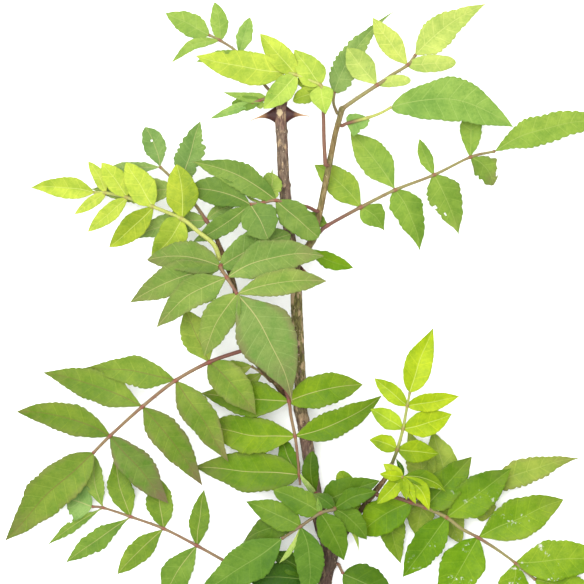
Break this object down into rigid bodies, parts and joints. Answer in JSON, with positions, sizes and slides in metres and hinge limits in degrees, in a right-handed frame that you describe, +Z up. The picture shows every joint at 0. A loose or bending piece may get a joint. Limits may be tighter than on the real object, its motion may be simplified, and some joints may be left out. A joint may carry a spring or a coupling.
{
  "type": "sichuan peppercorn sprig",
  "caption": "Cut sprig of Sichuan pepper lying flat: thorny woody stem with side shoots and pinnate leaves of small wavy-edged leaflets.",
  "frame": {"origin": "On the ground, under the middle of the sprig's outline.", "axes": "The stem lies along +Y with its cut end at -Y and its tip at +Y; +X is to the right as the sprig is seen from above; +Z is up, away from the ground."},
  "size_m": [0.3664, 0.3664, 0.0636],
  "materials": {
    "bark": "matte",
    "green_bark": "matte",
    "leaf_young": "satin",
    "leaf_bright": "satin",
    "leaf_green": "satin",
    "leaf_dark": "satin",
    "leaf_grey_green": "satin",
    "leaf_olive": "satin"
  },
  "bodies": {
    "root": {"main_stem": "bark", "right_branch": "green_bark", "left_branch": "green_bark", "lower_right_branch": "green_bark", "leaf_top_left": "leaf_green", "leaf_top_small": "leaf_olive", "leaf_young_front": "leaf_young", "leaf_single_long": "leaf_grey_green", "leaf_top_right": "leaf_young", "leaf_upper_right": "leaf_green", "leaf_right_long": "leaf_green", "leaf_left_upper": "leaf_young", "leaf_left_dark": "leaf_dark", "leaf_centre_upper": "leaf_grey_green", "leaf_centre_rosette": "leaf_green", "leaf_left_lower": "leaf_green", "leaf_left_small": "leaf_green", "leaf_centre_lower": "leaf_bright", "leaf_bottom_front": "leaf_dark", "leaf_lower_right_young": "leaf_young", "shoot_tip_young": "leaf_young", "leaf_lower_right_large": "leaf_green", "leaf_lower_right_hidden": "leaf_olive", "leaf_base_left": "leaf_olive", "leaf_base_right": "leaf_dark", "leaf_bottom_left": "leaf_green"}
  },
  "joints": []
}
